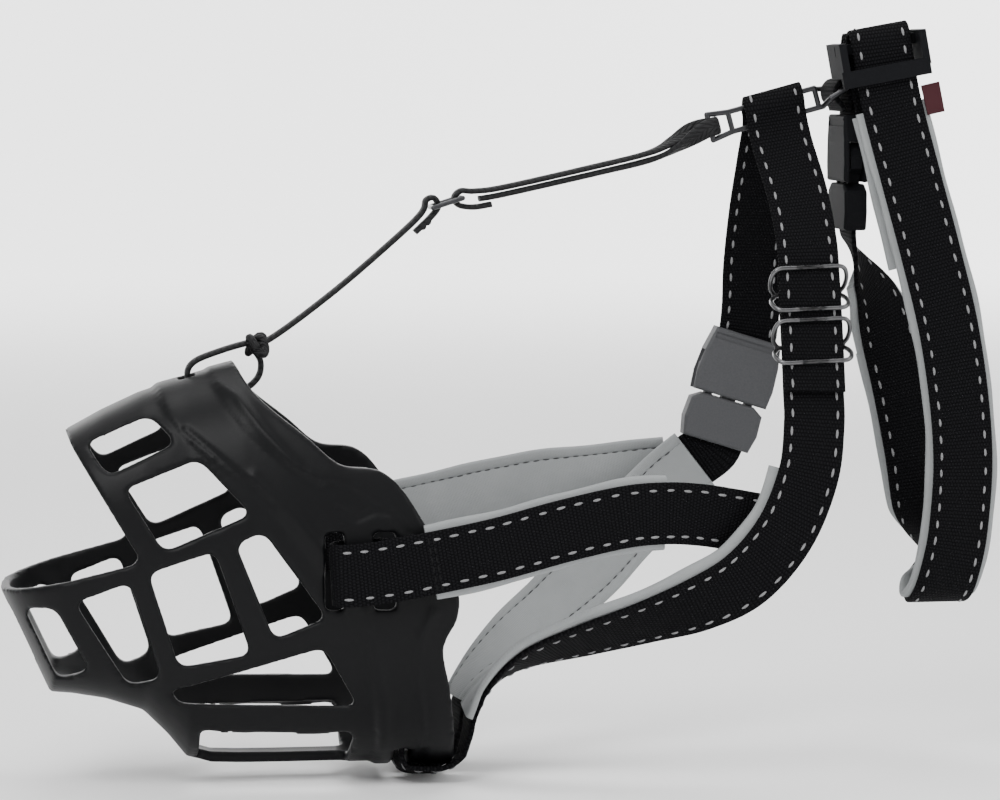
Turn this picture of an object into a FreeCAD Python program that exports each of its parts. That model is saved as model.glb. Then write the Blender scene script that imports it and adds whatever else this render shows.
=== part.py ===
import FreeCAD
import Part
import os
from math import cos, pi, radians, sin
from FreeCAD import Vector

# Frame: millimetres, +Z up, +X from the nose to the neck, +Y to the far cheek.
# The origin is the centre of the muzzle's rear opening, where the muzzle sits on the snout.

doc = FreeCAD.newDocument("basket_muzzle")
sheet = doc.addObject("Spreadsheet::Sheet", "sizes")

SIZES = {
    "webbing_width": 20.0, "webbing_thick": 1.6, "lining_width": 24.0, "lining_thick": 2.4,
    "layer_gap": 0.2, "cord_width": 6.0, "cord_thick": 1.9, "wall": 3.4, "band_raise": 1.0,
    "rim_raise": 0.6, "window_round": 3.6, "window_ease": 1.5, "wire": 2.0, "link_wire": 1.8, "buckle_width": 26.0,
    "adjuster_span": 25.0, "adjuster_length": 14.0, "slider_span": 29.6,
}
for row, (alias, value) in enumerate(SIZES.items(), start=1):
    sheet.set(f"A{row}", alias)
    sheet.set(f"B{row}", str(value))
    sheet.setAlias(f"B{row}", alias)
doc.recompute()
size = {name: float(sheet.get(name)) for name in SIZES}
made = []


def keep(name, shape, placement=None):
    """Put one finished solid in the document under its own name."""
    solid = shape.Solids[0] if len(shape.Solids) == 1 else shape
    obj = doc.addObject("Part::Feature", name)
    obj.Label = name
    obj.Shape = solid
    if placement is not None:
        obj.Placement = placement
    made.append(obj)
    return obj


def unit(v):
    v = Vector(v)
    v.normalize()
    return v


# ---------------------------------------------------------------- straps and cords


def smooth(stations, step):
    """Catmull-Rom through (point, width direction) stations, about `step` mm apart. Also gives
    the row number of each station."""
    out = []
    marks = []
    count = len(stations)
    for i in range(count - 1):
        quad = [stations[max(0, min(count - 1, i + k))] for k in (-1, 0, 1, 2)]
        span = max(1, int(round((Vector(quad[2][:3]) - Vector(quad[1][:3])).Length / step)))
        marks.append(len(out))
        for j in range(span + (i == count - 2)):
            u = j / span
            weights = (
                -0.5 * u + u * u - 0.5 * u ** 3,
                1 - 2.5 * u * u + 1.5 * u ** 3,
                0.5 * u + 2 * u * u - 1.5 * u ** 3,
                -0.5 * u * u + 0.5 * u ** 3,
            )
            values = [sum(w * q[k] for w, q in zip(weights, quad)) for k in range(6)]
            out.append((Vector(*values[:3]), unit(values[3:])))
    marks.append(len(out) - 1)
    return out, marks


def ribbon(stations, width, thick, shift=0.0, step=3.0, first=0, last=None, lead=0.0):
    """A flat strap between two stations: rectangles across a smooth path. shift moves it towards
    the outer face, and lead starts it that far along, clear of the strap it is sewn to."""
    rows, marks = smooth(stations, step)
    start = marks[first]
    stop = marks[-1 if last is None else last]
    wires = []
    for i in range(start, stop + 1):
        point, across = rows[i]
        ahead = unit(rows[min(i + 1, len(rows) - 1)][0] - rows[max(i - 1, 0)][0])
        out = unit(ahead.cross(across))
        side = unit(out.cross(ahead))
        middle = point + out * shift + ahead * (lead if i == start else 0.0)
        half = side * (width / 2)
        lift = out * (thick / 2)
        ring = [middle - half - lift, middle + half - lift, middle + half + lift, middle - half + lift]
        wires.append(Part.makePolygon(ring + ring[:1]))
    return Part.makeLoft(wires, True, True)


def webbing(name, stations, first=0, last=None, lead=0.0):
    width = size["webbing_width"]
    return keep(name, ribbon(stations, width, size["webbing_thick"], 0.0, 3.0, first, last, lead))


def lining(name, stations, first=0, last=None, lead=0.0):
    shift = -(size["webbing_thick"] / 2 + size["layer_gap"] + size["lining_thick"] / 2)
    return keep(name, ribbon(stations, size["lining_width"], size["lining_thick"], shift, 3.0, first, last, lead))


def wire_run(points, diameter, closed=False):
    """Round wire: cylinders along straight runs with a ball at each bend."""
    points = [Vector(p) for p in points]
    ends = points[1:] + points[:1] if closed else points[1:]
    body = None
    for a, b in zip(points, ends):
        piece = Part.makeCylinder(diameter / 2, (b - a).Length, a, b - a)
        ball = Part.makeSphere(diameter / 2, a)
        piece = piece.fuse(ball)
        body = piece if body is None else body.fuse(piece)
    if not closed:
        body = body.fuse(Part.makeSphere(diameter / 2, points[-1]))
    return body.removeSplitter()


def block(centre, along, across, extents):
    """A box centred on a point, its length along `along`, width along `across`."""
    along = unit(along)
    across = unit(across)
    up = along.cross(across)
    box = Part.makeBox(*extents, Vector(*[-e / 2 for e in extents]))
    m = FreeCAD.Matrix(
        along.x, across.x, up.x, centre[0],
        along.y, across.y, up.y, centre[1],
        along.z, across.z, up.z, centre[2],
        0, 0, 0, 1,
    )
    box.Placement = FreeCAD.Placement(m)
    return box


# ---------------------------------------------------------------- basket

# Distance along the snout, roof height, floor height, half width.
SECTIONS = [
    (-124, 34, -39, 32), (-108, 37.5, -39.5, 33.5), (-91, 44.5, -41, 35), (-80, 50.5, -43, 36), (-68, 56.0, -47, 37),
    (-60, 58.5, -55, 37.6), (-54, 60, -62.5, 38), (-46, 62.2, -65, 39), (-37, 64.5, -65.4, 40), (-24, 65.6, -65.6, 41),
    (-10, 66, -65.6, 42), (12, 66, -65.6, 43), (46, 66, -65.6, 43.5),
]
# Height, how far forward the front wall reaches.
FRONT = [(-80, -84), (-40, -98), (-5, -114), (85, -119)]
ROUNDNESS = 2.4


def superellipse(t, a, b, n):
    c = cos(t)
    s = sin(t)
    return (
        a * abs(c) ** (2 / n) * (1 if c >= 0 else -1),
        b * abs(s) ** (2 / n) * (1 if s >= 0 else -1),
    )


def body_skin(grow):
    """The muzzle as seen along the snout: ovals lofted from nose to neck."""
    wires = []
    for x, roof, floor, half in SECTIONS:
        middle = (roof + floor) / 2
        tall = (roof - floor) / 2 + grow
        ring = [superellipse(2 * pi * k / 28, half + grow, tall, ROUNDNESS) for k in range(28)]
        curve = Part.BSplineCurve()
        curve.interpolate([Vector(x, y, middle + z) for y, z in ring], PeriodicFlag=True)
        wires.append(Part.Wire(curve.toShape()))
    return Part.makeLoft(wires, True, True)


def plan_skin(grow):
    """The muzzle as seen from above: a rounded front wall that leans back under the jaw."""
    wires = []
    for z, front in FRONT:
        reach = -72 - front + grow
        points = []
        for k in range(17):
            a, b = superellipse(pi / 2 + pi * k / 16, reach, 38 + grow, 2.4)
            points.append(Vector(-72 + a, b, z))
        curve = Part.BSplineCurve()
        curve.interpolate(points)
        last = points[-1]
        first = points[0]
        corners = [last, Vector(60, last.y - 12, z), Vector(60, first.y + 12, z), first]
        wires.append(Part.Wire([curve.toShape()] + [
            Part.LineSegment(p, q).toShape() for p, q in zip(corners, corners[1:])]))
    return Part.makeLoft(wires, True, True)


def rounded(points, radius):
    """A closed outline of straight sides with rounded corners."""
    points = [Vector(p) for p in points]
    count = len(points)
    edges = []
    cuts = []
    for i in range(count):
        p = points[i]
        a = points[i - 1] - p
        b = points[(i + 1) % count] - p
        reach = min(radius, a.Length * 0.45, b.Length * 0.45)
        start = p + unit(a) * reach
        stop = p + unit(b) * reach
        curve = Part.BezierCurve()
        curve.setPoles([start, p, stop])
        cuts.append((start, stop, curve))
    for i in range(count):
        edges.append(cuts[i][2].toShape())
        nxt = cuts[(i + 1) % count]
        if (nxt[0] - cuts[i][1]).Length > 1e-4:
            edges.append(Part.LineSegment(cuts[i][1], nxt[0]).toShape())
    return Part.Face(Part.Wire(edges))


def side_cut(points, radius=None, reach=80.0):
    """A prism right across the muzzle from an outline in the side view."""
    outline = [(x, -reach, z) for x, z in points]
    return rounded(outline, size["window_round"] if radius is None else radius).extrude(Vector(0, 2 * reach, 0))


SIDE_WINDOWS = [
    [(-84.6, 41.5), (-66.8, 49.0), (-59.4, 42.0), (-78.6, 33.2)],
    [(-73.2, 27.6), (-51.6, 35.6), (-36.4, 20.2), (-61.8, 9.6)],
    [(-89.3, -8.6), (-73.5, -2.9), (-64.2, -32.0), (-73.4, -34.6)],
    [(-66.2, 0.6), (-46.9, 6.8), (-36.4, -23.9), (-57.3, -27.6)],
    [(-38.8, 9.4), (-31.0, 13.0), (-12.6, -12.4), (-27.8, -18.4)],
    [(-105.2, -11.6), (-96.6, -11.0), (-86.8, -29.6), (-95.6, -32.4)],
    [(-58.6, -36.9), (-13.5, -23.6), (-2.4, -42.4), (-56.4, -40.9)],
]
NOTCH = [(-92.6, 47.5), (-91.2, 41.5), (-70.2, 6.2), (-72.5, 4.0), (-92.0, -0.8), (-130, -9.6), (-130, 60), (-97, 60)]
REAR = [(-38.5, 72), (-35.8, 62.0), (-14.5, 41.8), (-5.5, 35.0), (4.9, 33.7), (11.9, 28.6), (19.0, 17.8), (30.7, -8.0),
        (29.4, -15.3), (26.2, -21.5), (27.6, -34.0), (29.2, -43.0), (30.2, -80)]
BAND = [(-59.0, 80), (-57.2, 47.3), (-34.2, 27.8), (-20.0, 11.9), (-0.4, -20.1), (5.2, -44.0), (6.8, -80)]
RIM = [(-46.5, 80), (-43.8, 58.5), (-18.4, 34.0), (2.5, 25.5), (13.5, 10.0), (21.8, -9.0), (18.6, -20.5), (20.6, -33.4),
       (23.2, -55.7), (24, -80)]


STRAP_SLOTS = [(-11.8, -5.8), (3.4, 10.6)]


def behind(points, far=75.0):
    """Everything behind a curved line in the side view."""
    curve = Part.BSplineCurve()
    curve.interpolate([Vector(x, -80, z) for x, z in points])
    top = Vector(points[0][0], -80, points[0][1])
    low = Vector(points[-1][0], -80, points[-1][1])
    back = [low, Vector(far, -80, low.z), Vector(far, -80, top.z), top]
    edges = [curve.toShape()] + [Part.LineSegment(p, q).toShape() for p, q in zip(back, back[1:])]
    return Part.Face(Part.Wire(edges)).extrude(Vector(0, 160, 0))


def make_basket():
    wall = size["wall"]
    outer = body_skin(0).common(plan_skin(0))
    hollow = body_skin(-wall).common(plan_skin(-wall))
    band = body_skin(size["band_raise"]).common(behind(BAND))
    rim = body_skin(size["band_raise"] + size["rim_raise"]).common(behind(RIM))
    shell = outer.fuse(band).fuse(rim).cut(hollow)
    shell = shell.cut(behind(REAR)).cut(side_cut(NOTCH, 3.0))
    for outline in SIDE_WINDOWS:
        middle_x = sum(x for x, z in outline) / len(outline)
        middle_z = sum(z for x, z in outline) / len(outline)
        wider = []
        for x, z in outline:
            reach = ((x - middle_x) ** 2 + (z - middle_z) ** 2) ** 0.5
            grow = 1 + size["window_ease"] / reach
            wider.append((middle_x + (x - middle_x) * grow, middle_z + (z - middle_z) * grow))
        shell = shell.cut(side_cut(wider))
    front = [(-140, -8, -12), (-140, 8, -12), (-140, 8, -29), (-140, -8, -29)]
    shell = shell.cut(rounded(front, 4.0).extrude(Vector(50, 0, 0)))
    for side in (-1, 1):
        floor = [(x, side * y, -90) for x, y in ((-50.5, 5.0), (-2.5, 5.0), (-1.5, 29.0), (-50.5, 27.5))]
        shell = shell.cut(rounded(floor, 3.0).extrude(Vector(0, 0, 39.5)))
    for start, stop in STRAP_SLOTS:
        slot = [(start, -10.8), (stop, -10.8), (stop, 14.2), (start, 14.2)]
        shell = shell.cut(side_cut(slot, 1.6))
    chin = [(12.2, -25, -90), (17.6, -25, -90), (17.6, 25, -90), (12.2, 25, -90)]
    shell = shell.cut(rounded(chin, 2.0).extrude(Vector(0, 0, 40)))
    cord = [(-55.2, -5, 40), (-49.8, -5, 40), (-49.8, 5, 40), (-55.2, 5, 40)]
    shell = shell.cut(rounded(cord, 2.0).extrude(Vector(0, 0, 40)))
    solids = sorted(shell.Solids, key=lambda s: -s.Volume)
    return solids[0]


keep("basket", make_basket())

# ---------------------------------------------------------------- strap routes
# Each station: where the strap's middle lies, and the direction across its width.
# The outer face is on the side of (direction of travel x width direction).

NECK = [
    (146.6, -39.6, 57, 1, 0, 0), (147.0, -34.0, 74, 1, 0, 0.03), (147.2, -27.7, 93, 1, 0, 0.06),
    (147.0, -23.6, 105, 1, 0, 0.1), (145.6, -15.6, 120, 0.98, 0, 0.18), (142.8, -6.4, 135, 0.97, 0, 0.25),
    (141.6, -2.8, 143.2, 0.965, 0, 0.261), (140.7, -3.0, 148.8, 0.965, 0, 0.261), (140.3, 0, 152.7, 0.965, 0, 0.261),
    (140.7, 3.0, 148.8, 0.965, 0, 0.261), (141.0, 2.8, 143.2, 0.965, 0, 0.261), (140.4, 8.0, 132, 0.97, 0, 0.22),
    (139.6, 16.6, 114, 0.99, 0, 0.1), (139.2, 23.6, 95, 0.99, 0, -0.06), (139.4, 26.8, 81, 0.98, 0, -0.2),
    (138.5, 27.2, 71.4, 0.954, 0, -0.3), (137.3, 27.2, 67.4, 0.954, 0, -0.3),
]
THROAT_NEAR = [
    (147.4, -23.7, 95, 1, 0, 0.06), (147.2, -30.4, 75, 1, 0, 0.03), (146.8, -36.2, 57.4, 1, 0, 0.0),
    (146.4, -39.6, 46, 0.99, 0, -0.08), (144.2, -41.4, 30, 0.95, 0, -0.3), (136.5, -42.8, 12, 0.82, 0, -0.57),
    (124.0, -43.0, -2.5, 0.68, 0.05, -0.73), (109.0, -41.0, -11, 0.5, 0.3, -0.8), (92.0, -35.5, -17.6, 0.35, 0.62, -0.7),
    (74.0, -28.0, -24.0, 0.3, 0.76, -0.56), (57.0, -20.0, -31.0, 0.22, 0.88, -0.36), (44.8, -14.8, -40.2, 0.1, 0.97, -0.12),
    (38.8, -13.4, -49, 0, 1, -0.05), (37.2, -13.2, -56, 0, 1, -0.16), (34.6, -13, -63.6, 0, 1, -0.22), (29.6, -13, -67.3, 0, 1, -0.22),
    (22.4, -13, -67.7, 0, 1, -0.22), (16.6, -13, -66.6, 0, 1, -0.24), (14.9, -13, -62, 0, 1, -0.25),
    (17.4, -13, -56.5, 0, 1, -0.33), (22.0, -13, -55.2, 0, 1, -0.34), (26.6, -13, -55.2, 0, 1, -0.34),
]
THROAT_FAR = [
    (26.6, 13, -55.2, 0, -1, -0.34), (22.0, 13, -55.2, 0, -1, -0.34), (17.4, 13, -56.5, 0, -1, -0.33), (14.9, 13, -62, 0, -1, -0.25),
    (16.6, 13, -66.6, 0, -1, -0.24), (22.4, 13, -67.7, 0, -1, -0.22), (29.6, 13, -67.3, 0, -1, -0.22),
    (34.6, 13, -63.6, 0, -1, -0.22), (37.2, 13.2, -56, 0, -1, -0.16), (38.8, 13.4, -49, 0.05, -1, -0.05),
    (45.2, 14.6, -40.4, 0.15, -0.98, -0.1), (57, 18.4, -30.6, 0.34, -0.88, -0.34), (71.5, 23, -20, 0.52, -0.66, -0.55),
    (86, 26, -6.4, 0.66, -0.34, -0.66), (99, 29.4, 7.6, 0.72, -0.1, -0.68), (111, 30.2, 20, 0.76, 0, -0.64),
    (119.8, 28.6, 27.6, 0.84, 0, -0.54), (126, 27.2, 32.6, 0.94, 0, -0.34), (128.4, 27.2, 38.8, 0.954, 0, -0.3),
]
CHEEK_NEAR = [
    (17.6, -46.7, 4.2, -0.1, 0, 1), (13.6, -46.8, 3.4, -0.1, 0, 1), (10.4, -46, 2.8, -0.1, 0, 1),
    (8, -43.2, 2.4, -0.1, 0, 1), (6.9, -40, 2.1, -0.08, 0, 1), (4.2, -37.6, 1.9, -0.08, 0, 1),
    (-0.6, -36.7, 1.6, -0.06, 0, 1), (-6.2, -37.3, 1.2, -0.06, 0, 1), (-9, -40.2, 1, -0.06, 0, 1),
    (-9.6, -44.4, 1, -0.06, 0, 1), (-7.6, -47.8, 1.1, -0.07, 0, 1), (-3, -48.9, 1.3, -0.08, 0, 1),
    (8, -49.2, 2.6, -0.1, 0, 1),
    (21, -49.2, 4.8, -0.16, 0, 1), (42, -48.6, 8.8, -0.2, 0, 1), (64, -47.2, 14.2, -0.2, 0, 1),
    (84, -44.8, 18, -0.12, 0, 1), (98, -41.8, 18.6, -0.02, 0, 1), (110, -37.8, 17.4, 0.06, 0, 1), (120, -35.8, 15.6, 0.1, 0, 1),
    (130, -35.2, 13.6, 0.14, 0, 1),
]
CHEEK_FAR = [
    (120, 35.4, 24.8, 0.05, 0, 1), (112, 36.0, 24.0, 0.03, 0, 1), (98, 37.8, 22.6, -0.03, 0, 1), (84, 40.4, 21, -0.08, 0, 1),
    (66, 44.0, 18.6, -0.14, 0, 1), (42, 48.2, 13.6, -0.2, 0, 1), (21, 49.2, 9, -0.2, 0, 1),
    (8, 49.2, 4.2, -0.14, 0, 1), (-3, 48.9, 1.7, -0.12, 0, 1), (-7.6, 47.8, 1.5, -0.11, 0, 1),
    (-9.6, 44.4, 1.4, -0.1, 0, 1), (-9, 40.2, 1.4, -0.1, 0, 1), (-6.2, 37.3, 1.6, -0.1, 0, 1),
    (-0.6, 36.7, 2, -0.1, 0, 1), (4.2, 37.6, 3.5, -0.12, 0, 1), (6.9, 40, 3.7, -0.12, 0, 1),
    (8, 43.2, 4, -0.14, 0, 1), (10.4, 46, 4.4, -0.14, 0, 1), (13.6, 46.8, 5, -0.14, 0, 1),
    (17.6, 46.7, 5.8, -0.14, 0, 1),
]
COLLAR = [
    (189.2, -10.0, 97, 0.98, 0, 0.2), (183.4, -8.6, 120, 0.97, 0, 0.24), (177.6, -5.2, 146, 0.97, 0, 0.22),
    (174.6, -4.4, 163, 0.98, 0, 0.18), (173.6, -6.0, 171.2, 0.98, 0, 0.18), (173.4, -9.6, 173.6, 0.98, 0, 0.18),
    (173.6, -13.0, 170.6, 0.98, 0, 0.18), (174.6, -14.2, 163, 0.98, 0, 0.18), (177.4, -14.8, 148, 0.97, 0, 0.22),
    (183.6, -16.6, 124, 0.96, 0, 0.26), (190.0, -17.9, 100, 0.97, 0, 0.24), (196.2, -17.4, 76, 0.98, 0, 0.18),
    (200.4, -16.2, 52, 0.99, 0, 0.1), (202.4, -14.6, 30, 1, 0, 0.02), (201.4, -13.2, 8, 1, 0, -0.06),
    (199.4, -11.4, -5, 1, 0, -0.1), (197.8, -7.2, -13.4, 1, 0, -0.06), (197.0, 0.6, -16.8, 1, 0.1, 0),
    (196.6, 7.2, -12.4, 0.9, 0.5, 0), (196.6, 10.2, -4, 0.4, 0.9, 0), (196.2, 11.4, 5, -0.4, 0.9, 0),
    (195.2, 12.4, 15, -0.95, 0.4, 0), (193.4, 13.4, 28, -1, 0, -0.1), (189.4, 14.4, 50, -1, 0, -0.16),
    (185.0, 14.6, 68, -0.98, -0.1, -0.2), (180.0, 13.0, 82, -0.85, -0.5, -0.15), (173.4, 10.2, 93, -0.5, -0.85, -0.1),
    (169.0, 8.3, 102, -0.1, -1, 0), (168.0, 8.0, 108, 0, -1, 0), (168.0, 8.0, 112, 0, -1, 0),
]
RING_POCKET = [
    (166.4, 8, 146.4, 0, -1, 0), (166.5, 8, 150, 0, -1, 0), (166.4, 8, 153.6, 0, -1, 0), (164.0, 8, 156.1, 0, -1, 0),
    (161.6, 8, 153.6, 0, -1, 0), (161.9, 8, 150.2, 0, -1, 0), (163.8, 8, 148.2, 0, -1, 0), (164.5, 8, 146.4, 0, -1, 0),
]
RING_STRAP = [
    (168.0, 8.0, 141.2, 0, -1, 0), (168.5, 8.0, 147.6, 0, -1, 0), (170.2, 7.6, 154.6, -0.3, -0.95, 0),
    (172.8, 4.6, 160, -0.8, -0.6, -0.1), (174.2, 2.5, 164.4, -0.97, -0.1, -0.18), (173.9, 2.5, 168.8, -0.98, 0, -0.18),
    (173.8, 0.1, 172.5, -0.98, 0, -0.18), (173.9, -2.2, 169.2, -0.98, 0, -0.18), (174.2, -2.1, 163.4, -0.98, 0, -0.18),
]

THROAT_SEAM = 14
COLLAR_SEAM = 24
JOIN = 0.4

webbing("neck_webbing", NECK)
webbing("throat_webbing_near", THROAT_NEAR)
webbing("throat_webbing_far", THROAT_FAR, 0, THROAT_SEAM)
webbing("throat_plug_webbing", THROAT_FAR, THROAT_SEAM, None, JOIN)
webbing("cheek_webbing_near", CHEEK_NEAR)
webbing("cheek_webbing_far", CHEEK_FAR)
webbing("collar_webbing", COLLAR, 0, COLLAR_SEAM)
webbing("collar_plug_webbing", COLLAR, COLLAR_SEAM, None, JOIN)
lining("throat_lining_near", THROAT_NEAR, 3, 12)
lining("throat_lining_far", THROAT_FAR, 9, THROAT_SEAM)
lining("throat_plug_lining", THROAT_FAR, THROAT_SEAM, 16, JOIN)
lining("cheek_lining_near", CHEEK_NEAR, 13, 17)
lining("cheek_lining_far", CHEEK_FAR, 1, 6)
lining("collar_lining", COLLAR, 8, COLLAR_SEAM)
lining("collar_plug_lining", COLLAR, COLLAR_SEAM, 26, JOIN)
lining("collar_tail_lining", COLLAR, 0, 2)
ring = ribbon(RING_STRAP, size["webbing_width"], size["webbing_thick"], 0, 2.0)
pocket = ribbon(RING_POCKET, size["webbing_width"], size["webbing_thick"], 0, 1.5)
keep("collar_ring_webbing", ring.fuse([pocket], 0.02).removeSplitter())

# ---------------------------------------------------------------- forehead cord

CORD_FRONT = [
    (-31.0, 0, 69.4), (-28.6, 0, 65.6), (-29.4, 0, 60.6), (-34.0, 0, 56.6), (-42.0, 0, 54.6), (-48.4, 0, 55.0),
    (-51.6, 0, 58.4), (-52.3, 0, 62.8), (-49.4, 0, 66.2), (-41.0, 0, 69.4), (-33.0, 0, 71.6), (-26.0, 0, 72.6),
    (-5.0, 0, 87.8), (16.0, 0, 105.6), (24.2, 0, 113.6), (25.6, 0, 117.6), (28.2, 0, 118.4), (29.6, 0, 115.6), (27.2, 0, 112.2),
    (22.0, 0, 107.2),
]
CORD_REAR = [
    (43.0, 0, 118.0, 0, 1, 0), (52.0, 0, 119.6, 0, 1, 0), (82.0, 0, 126.2, 0, 1, 0), (100.0, 0, 130.5, 0, 1, 0),
    (108.6, -0.6, 134.2, 0, 0.9, -0.4), (114.2, -1.6, 137.9, 0.15, 0.5, -0.85), (118.0, -2.1, 140.4, 0.26, 0, -0.965),
    (120.4, -1.9, 141.2, 0.26, 0, -0.965), (122.2, 0, 141.7, 0.26, 0, -0.965), (120.4, 1.9, 141.2, 0.26, 0, -0.965),
    (117.8, 2.2, 140.9, 0.26, 0, -0.965), (113.0, 1.4, 139.6, 0.15, -0.5, -0.85), (107.2, 0.6, 136.4, 0, -0.9, -0.4),
    (99.2, 0, 132.7, 0, -1, 0), (81.6, 0, 128.4, 0, -1, 0), (51.6, 0, 121.8, 0, -1, 0), (41.6, 0, 120.5, 0, -1, 0),
    (37.0, 0, 120.6, 0, -1, 0), (34.9, 0, 118.4, 0, -1, 0), (36.4, 0, 116.0, 0, -1, 0), (41.2, 0, 115.3, 0, -1, 0),
    (47.0, 0, 116.2, 0, -1, 0),
]


def make_front_cord():
    braid = ribbon([(x, y, z, 0, 1, 0) for x, y, z in CORD_FRONT], size["cord_width"], size["cord_thick"], 0, 2.0)
    knot = Part.makeSphere(4.2, Vector(-29.6, 0, 71.0))
    squash = FreeCAD.Matrix(1.05, 0, 0, 1.5, 0, 1.0, 0, 0, 0, 0, 0.82, 12.8, 0, 0, 0, 1)
    knot = knot.transformGeometry(squash)
    return braid, knot


braid, knot = make_front_cord()
keep("forehead_cord_front", braid.fuse(knot))
keep("forehead_cord_rear", ribbon(CORD_REAR, size["cord_width"], size["cord_thick"], 0, 2.0))


# ---------------------------------------------------------------- wire parts

SLIDER_BARS = [(27.5, 115.3), (37.1, 118.4)]


def make_forehead_slider():
    (x0, z0), (x1, z1) = SLIDER_BARS
    ring = [(x0, -4.8, z0), (x0, 4.8, z0), (x1, 4.8, z1), (x1, -4.8, z1)]
    return wire_run(ring, 1.6, True)


LINK_START = Vector(119.7, 0, 141.0)
LINK_ALONG = unit((0.965, 0, 0.261))
LINK_UP = unit((-0.261, 0, 0.965))


def link_point(along, up, y=0.0):
    p = LINK_START + LINK_ALONG * along + LINK_UP * up
    return (p.x, p.y + y, p.z)


def make_link():
    wire = size["link_wire"]
    far_end = [(158.6, 20.6, 153.2), (164.0, 20.6, 153.6), (164.0, -5.4, 153.6), (159.2, -5.4, 150.6)]
    loop = [link_point(0, -4.3), link_point(0, 4.3), link_point(7, 3.3), link_point(37, 3.3)]
    loop += far_end + [link_point(38.5, -3.3), link_point(7, -3.3)]
    body = wire_run(loop, wire, True)
    for along in (7, 37):
        body = body.fuse(wire_run([link_point(along, -3.3), link_point(along, 3.3)], wire))
    return body


def make_adjuster(centre, down):
    """A pinched double loop: both outer wires lie over the webbing, the middle bar behind it."""
    half = size["adjuster_span"] / 2
    tall = size["adjuster_length"] / 2
    front = 2.3
    back = -5.5
    across = Vector(1, 0, 0.04)
    down = unit(down)
    out = unit(down.cross(across))

    def at(x, along, lift):
        return Vector(centre) + across * x + down * along + out * lift

    ring = [at(-half, -tall, front), at(half, -tall, front), at(half + 0.5, -1.6, back), at(half - 0.6, 0, back),
            at(half + 0.5, 1.6, back), at(half, tall, front), at(-half, tall, front), at(-half - 0.5, 1.6, back),
            at(-half + 0.6, 0, back), at(-half - 0.5, -1.6, back)]
    bar = wire_run([at(-half + 0.6, 0, back), at(half - 0.6, 0, back)], size["wire"])
    return wire_run(ring, size["wire"], True).fuse(bar)


NECK_DOWN = (0, -0.331, -0.944)
keep("forehead_slider", make_forehead_slider())
keep("neck_link", make_link())
keep("neck_adjuster_upper", make_adjuster((147.1, -29.0, 89.0), NECK_DOWN))
keep("neck_adjuster_lower", make_adjuster((147.0, -34.6, 72.4), NECK_DOWN))

# ---------------------------------------------------------------- plastic buckles
# Local frame: x across the webbing, y through the thickness, z from the plug's webbing end to the socket's.


def local_box(x, y, z0, z1):
    return Part.makeBox(2 * x, 2 * y, z1 - z0, Vector(-x, -y, z0))


def tapered(outline, half_thick):
    """A flat plate from an outline in x and z, with softened long edges."""
    points = [Vector(x, -half_thick, z) for x, z in outline]
    plate = Part.Face(Part.makePolygon(points + points[:1])).extrude(Vector(0, 2 * half_thick, 0))
    return plate


def make_socket():
    half = size["buckle_width"] / 2
    outline = [(-half, 15.9), (half, 15.9), (half + 0.6, 22), (half, 30), (half - 1.6, 38), (-half + 1.6, 38), (-half, 30),
               (-half - 0.6, 22)]
    body = tapered(outline, 4.2)
    edges = [e for e in body.Edges if abs(abs(e.CenterOfMass.y) - 4.2) < 0.01]
    body = body.makeFillet(1.2, edges)
    body = body.cut(local_box(10.7, 2.5, 10, 31))
    for side in (-1, 1):
        window = Part.makeBox(6, 5.2, 19.4, Vector(8.8 if side > 0 else -14.8, -2.6, 10))
        body = body.cut(window)
    body = body.cut(local_box(11.3, 1.3, 32.6, 40))
    frame_line = local_box(11.2, 5, 34.2, 36.2).cut(local_box(11.3, 3.7, 34, 37))
    return body.cut(frame_line)


def make_plug():
    half = size["buckle_width"] / 2
    outline = [(-half + 1.4, 0), (half - 1.4, 0), (half, 6), (half - 0.4, 13.0), (9.0, 15.3), (-9.0, 15.3),
               (-half + 0.4, 13.0), (-half, 6)]
    body = tapered(outline, 3.8)
    edges = [e for e in body.Edges if abs(abs(e.CenterOfMass.y) - 3.8) < 0.01]
    body = body.makeFillet(1.1, edges)
    body = body.cut(local_box(11.5, 1.35, -1, 6.6))
    body = body.fuse(local_box(2.4, 1.9, 14, 28.5))
    arm = [(5.6, 14), (8.2, 14), (9.0, 18.4), (12.6, 20.4), (12.9, 24.6), (10.2, 28.6), (8.4, 28.8), (7.4, 22)]
    for side in (-1, 1):
        body = body.fuse(tapered([(side * x, z) for x, z in arm], 1.9))
    return body


def placed(origin, across, along):
    """From buckle coordinates to the part's."""
    along = unit(along)
    across = unit(across)
    through = along.cross(across)
    m = FreeCAD.Matrix(
        across.x, through.x, along.x, origin[0],
        across.y, through.y, along.y, origin[1],
        across.z, through.z, along.z, origin[2],
        0, 0, 0, 1,
    )
    return FreeCAD.Placement(m)


MAIN = placed((126.9, 27.2, 34.2), (0.954, 0, -0.3), (0.3, 0, 0.954))
SMALL = placed((168.0, 8.0, 107.0), (0, 1, 0), (0, 0, 1))
keep("main_buckle_socket", make_socket(), MAIN)
keep("main_buckle_plug", make_plug(), MAIN)
keep("collar_buckle_socket", make_socket(), SMALL)
keep("collar_buckle_plug", make_plug(), SMALL)


def make_collar_slider():
    """A three-bar plastic slider: one bar over the strap, one inside its fold, one in the ring strap's fold."""
    span = size["slider_span"]
    across = (0.98, 0, 0.18)
    up = (-0.18, 0, 0.98)
    front = block((174.9, -16.6, 158.8), across, up, (span, 5.4, 2.4))
    inner = block((173.6, -9.3, 168.2), across, up, (span, 3.4, 2.4))
    rear = block((173.6, 0.15, 168.6), across, up, (span, 2.6, 1.9))
    body = front.fuse(inner).fuse(rear)
    for side in (-1, 1):
        centre = Vector(174.2, -8.2, 165) + unit(across) * (side * (span / 2 - 1.3))
        body = body.fuse(block(centre, across, up, (2.4, 11.4, 19.0)))
    return body


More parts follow.
